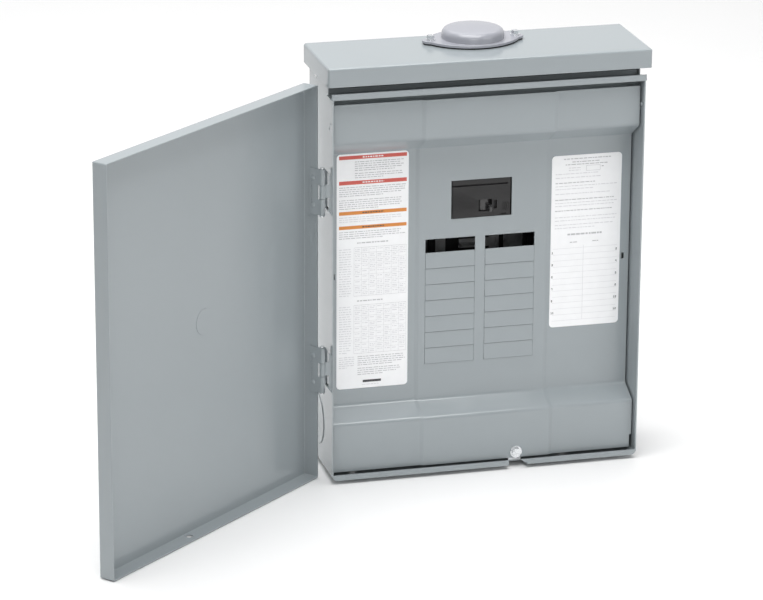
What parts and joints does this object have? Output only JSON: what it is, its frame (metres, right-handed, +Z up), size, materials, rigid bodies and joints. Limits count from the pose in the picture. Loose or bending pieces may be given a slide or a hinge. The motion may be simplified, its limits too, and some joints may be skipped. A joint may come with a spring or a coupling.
{
  "type": "residential load center",
  "caption": "Hooded outdoor load center: hinged door, deadfront with breaker spaces, main breaker, bus bars, neutral bars and a capped hub opening.",
  "frame": {"origin": "centre of the four mounting holes, on the wall plane", "axes": "+X to the right seen from the front, +Y into the wall, +Z up"},
  "size_m": [0.6761, 0.3365, 0.5096],
  "materials": {
    "box_paint": "smooth grey polyester powder coat, semi-gloss",
    "door_paint": "smooth grey polyester powder coat, semi-gloss",
    "hub_casting": "painted die casting, satin",
    "zinc_steel": "bright zinc plate",
    "galvanised": "galvanised sheet",
    "alloy": "tin-plated aluminium",
    "copper": "bare copper",
    "black_plastic": "moulded thermoset, fine texture",
    "charcoal_plastic": "moulded thermoset, satin",
    "brown_plastic": "moulded phenolic",
    "gasket_rubber": "sponge rubber",
    "label_film": "printed polyester film",
    "green_screw": "green passivated screw"
  },
  "bodies": {
    "root": {"enclosure_box": "box_paint", "drip_hood": "box_paint", "hood_brackets": "galvanised", "hood_screws": "zinc_steel", "top_rail": "box_paint", "hub_gasket": "gasket_rubber", "hub_plate": "hub_casting", "hub_screws": "zinc_steel", "knockouts": "box_paint", "cover_screw_bracket": "galvanised", "cover_screw": "zinc_steel", "side_brackets": "galvanised", "deadfront": "box_paint", "twistout_plates": "box_paint", "rating_label": "label_film", "directory_label": "label_film", "box_leaf_upper": "door_paint", "box_leaf_lower": "door_paint", "box_rivets": "door_paint", "hinge_pin_upper": "zinc_steel", "hinge_pin_lower": "zinc_steel", "mounting_pan": "galvanised", "pan_screws": "zinc_steel", "bus_insulator": "black_plastic", "bus_bar_a": "alloy", "bus_bar_b": "alloy", "bus_screws": "zinc_steel", "breaker_rail_left": "black_plastic", "breaker_rail_right": "black_plastic", "main_breaker_base": "charcoal_plastic", "main_breaker_cover": "charcoal_plastic", "fixed_contacts": "copper", "arc_chutes": "zinc_steel", "opening_spring": "zinc_steel", "load_terminals": "copper", "line_terminals": "copper", "line_lugs": "alloy", "lug_screws": "zinc_steel", "neutral_bar_left": "alloy", "neutral_bar_right": "alloy", "neutral_insulators": "black_plastic", "neutral_tie": "alloy", "terminal_screws": "zinc_steel", "neutral_lug": "alloy", "neutral_lug_screw": "zinc_steel", "ground_bar": "alloy", "ground_screws": "zinc_steel", "bonding_strap": "copper", "bonding_screw": "green_screw"},
    "door": {"door_panel": "door_paint", "door_leaf_upper": "door_paint", "door_leaf_lower": "door_paint", "door_rivets": "door_paint"},
    "handle": {"toggle_handle": "charcoal_plastic"},
    "contacts": {"contact_carrier": "brown_plastic", "contact_arms": "copper"}
  },
  "joints": [
    {"name": "door_hinge", "type": "hinge", "parent": "root", "child": "door", "pos_m": [-0.188, -0.0932, 0.00525], "axis": [0, 0, -1], "range_deg": [-139, 36]},
    {"name": "handle_throw", "type": "hinge", "parent": "root", "child": "handle", "pos_m": [0.00575, -0.065, 0.077], "axis": [0, 0, -1], "range_deg": [0, 32]},
    {"name": "contact_swing", "type": "hinge", "parent": "root", "child": "contacts", "pos_m": [-0.008, -0.043, 0.086], "axis": [0, 0, -1], "range_deg": [0, 25]}
  ],
  "couplings": [
    {"joint": "contact_swing", "follows": "handle_throw", "ratio": 0.78125}
  ]
}
